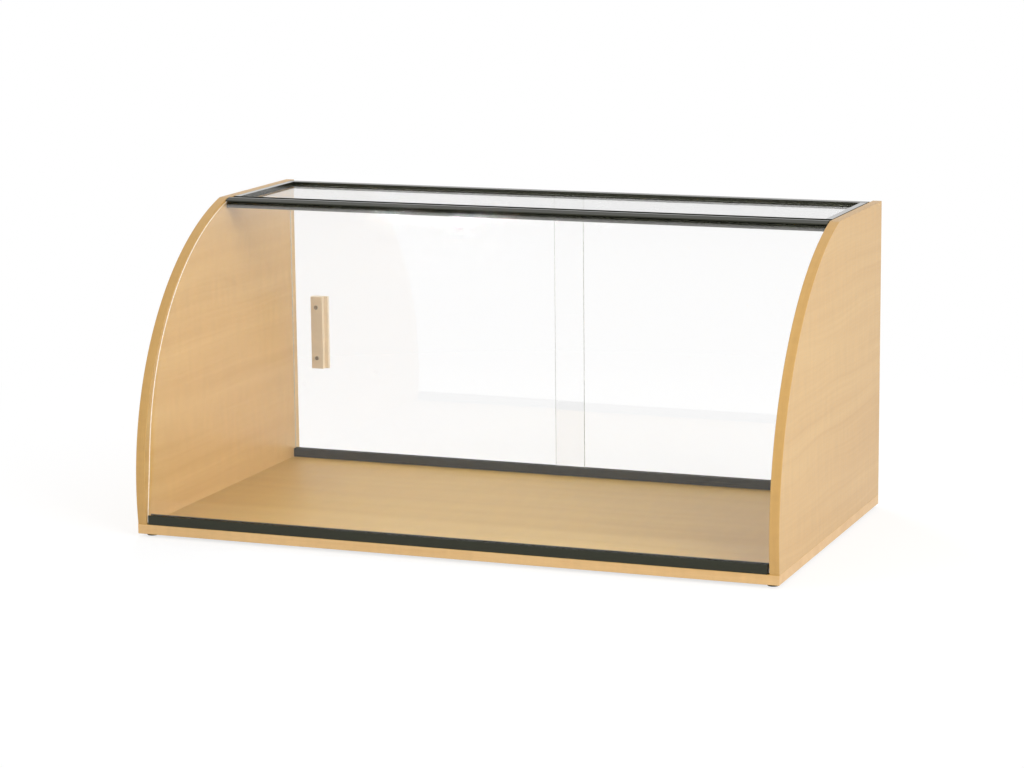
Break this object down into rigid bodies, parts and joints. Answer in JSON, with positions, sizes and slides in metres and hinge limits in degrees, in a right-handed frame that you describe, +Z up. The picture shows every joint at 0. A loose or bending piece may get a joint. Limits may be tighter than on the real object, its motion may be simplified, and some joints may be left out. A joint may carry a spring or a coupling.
{
  "type": "countertop display case",
  "caption": "Countertop display case: wood sides and base, a curved clear front, a black-framed clear top and sliding clear rear doors with a wood pull.",
  "frame": {"origin": "middle of the footprint, on the plane that the rubber feet stand on", "axes": "+X along the width to the customer's right, +Y from the curved front to the rear doors, +Z up"},
  "size_m": [0.9144, 0.504, 0.4365],
  "materials": {
    "maple_veneer_board": "clear satin lacquer over maple veneer",
    "solid_maple": "planed, clear satin lacquer",
    "beech_dowel": "fluted, bare",
    "clear_acrylic": "clear, polished edges",
    "black_extrusion": "extruded, semi-gloss",
    "black_rubber": "moulded, matt",
    "zinc_plated_steel": "zinc plated"
  },
  "bodies": {
    "case": {"base_board": "maple_veneer_board", "side_panel_left": "maple_veneer_board", "side_panel_right": "maple_veneer_board", "front_channel": "black_extrusion", "curved_front_pane": "clear_acrylic", "front_top_rail": "black_extrusion", "rear_top_rail": "black_extrusion", "top_side_rail_left": "black_extrusion", "top_side_rail_right": "black_extrusion", "top_pane": "clear_acrylic", "rear_door_track": "black_extrusion", "foot_front_left": "black_rubber", "foot_front_right": "black_rubber", "foot_rear_left": "black_rubber", "foot_rear_right": "black_rubber", "panel_dowels": "beech_dowel", "rail_pins": "zinc_plated_steel", "panel_screws": "zinc_plated_steel", "track_screws": "zinc_plated_steel", "channel_screws": "zinc_plated_steel", "foot_screws": "zinc_plated_steel", "side_rail_screws": "zinc_plated_steel"},
    "left_door": {"sliding_door_left": "clear_acrylic", "door_pull": "solid_maple", "pull_screws": "zinc_plated_steel"},
    "right_door": {"sliding_door_right": "clear_acrylic"}
  },
  "joints": [
    {"name": "left_door_slide", "type": "slide", "parent": "case", "child": "left_door", "axis": [1, 0, 0], "range_m": [0, 0.4217]},
    {"name": "right_door_slide", "type": "slide", "parent": "case", "child": "right_door", "axis": [-1, 0, 0], "range_m": [0, 0.4217]}
  ]
}
